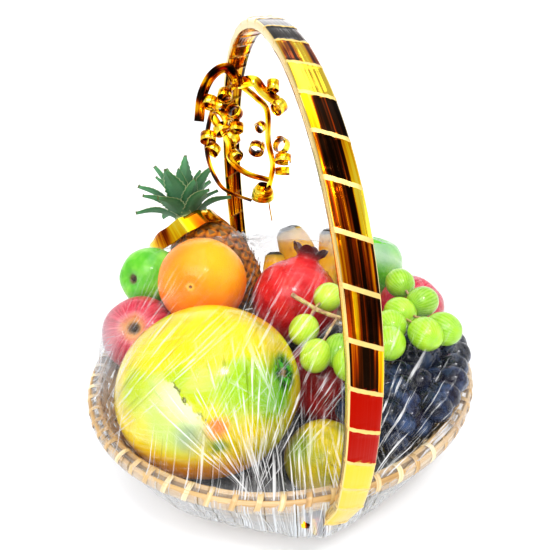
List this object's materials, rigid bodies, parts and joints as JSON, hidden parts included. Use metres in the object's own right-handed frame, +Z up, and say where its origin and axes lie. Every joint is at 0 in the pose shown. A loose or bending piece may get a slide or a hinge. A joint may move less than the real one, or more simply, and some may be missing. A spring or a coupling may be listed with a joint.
{
  "type": "fruit gift basket",
  "caption": "Fruit gift basket: a woven cane bowl with a foil-wrapped hoop handle, heaped with papaya, pineapple, citrus, apples, pomegranates, bananas and grapes under clear film.",
  "frame": {"origin": "centre of the underside of the bowl, the face it rests on", "axes": "+Z up; the hoop handle stands in the YZ plane with its near leg at -Y; +X to the right of a viewer who stands in front at -Y"},
  "size_m": [0.318, 0.4046, 0.3326],
  "materials": {
    "cane": "woven cane, matt",
    "gold_foil": "metallised film, mirror gloss",
    "dark_tissue": "crumpled tissue paper",
    "papaya_skin": "fruit skin, satin",
    "orange_peel": "pored peel, satin",
    "mandarin_peel": "pored peel, satin",
    "green_apple_skin": "waxed skin",
    "red_apple_skin": "waxed skin",
    "pomegranate_rind": "leathery rind, satin",
    "pineapple_rind": "rough rind",
    "leaf_green": "leaf",
    "banana_skin": "fruit skin, satin",
    "green_grape_skin": "translucent skin",
    "dark_grape_skin": "skin with a dusty bloom",
    "clear_film": "clear stretch film, glossy"
  },
  "bodies": {
    "root": {"basket": "cane", "handle": "gold_foil", "bed": "dark_tissue", "papaya": "papaya_skin", "orange": "orange_peel", "mandarin": "mandarin_peel", "green_apple_left": "green_apple_skin", "red_apple_left": "red_apple_skin", "green_apple_right": "green_apple_skin", "red_apple_right": "red_apple_skin", "pomegranate_top": "pomegranate_rind", "pomegranate_low": "pomegranate_rind", "pineapple": "pineapple_rind", "pineapple_crown": "leaf_green", "pineapple_band": "gold_foil", "banana_left": "banana_skin", "banana_middle": "banana_skin", "banana_right": "banana_skin", "green_grapes": "green_grape_skin", "dark_grapes": "dark_grape_skin", "ribbon": "gold_foil", "film": "clear_film"}
  },
  "joints": []
}
